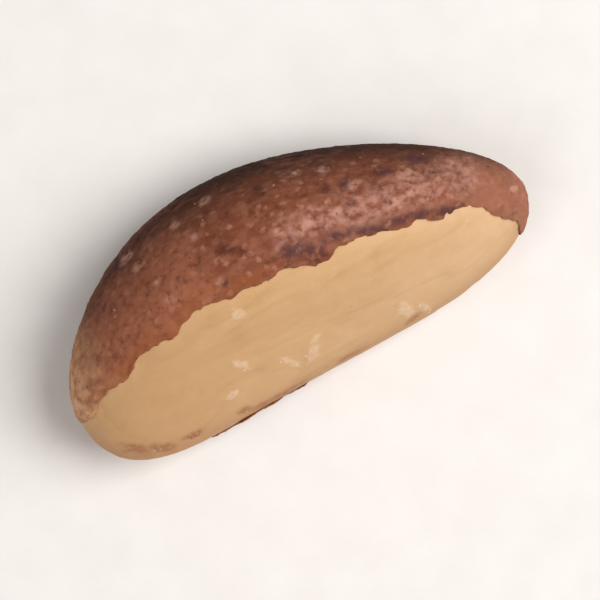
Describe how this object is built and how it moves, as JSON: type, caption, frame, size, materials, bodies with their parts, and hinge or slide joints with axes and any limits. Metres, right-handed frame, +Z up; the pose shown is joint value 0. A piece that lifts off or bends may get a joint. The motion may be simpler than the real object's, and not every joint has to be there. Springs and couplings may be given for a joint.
{
  "type": "shelled brazil nut kernel",
  "caption": "Shelled brazil nut: a cream three-sided kernel with a rounded back, lying on one flat flank, with torn brown seed coat over its back and one tip.",
  "frame": {"origin": "on the resting surface, under the middle of the part's bounding box", "axes": "+X along the kernel towards the tip that the seed coat covers, +Y towards the rounded brown back, -Y towards the straight inner edge and the cream flank, +Z up from the flat spot that the kernel rests on"},
  "size_m": [0.04, 0.0184, 0.0141],
  "materials": {
    "kernel": "satin",
    "coat": "satin"
  },
  "bodies": {
    "root": {"kernel": "kernel", "coat_back": "coat", "coat_scrap": "coat"}
  },
  "joints": []
}
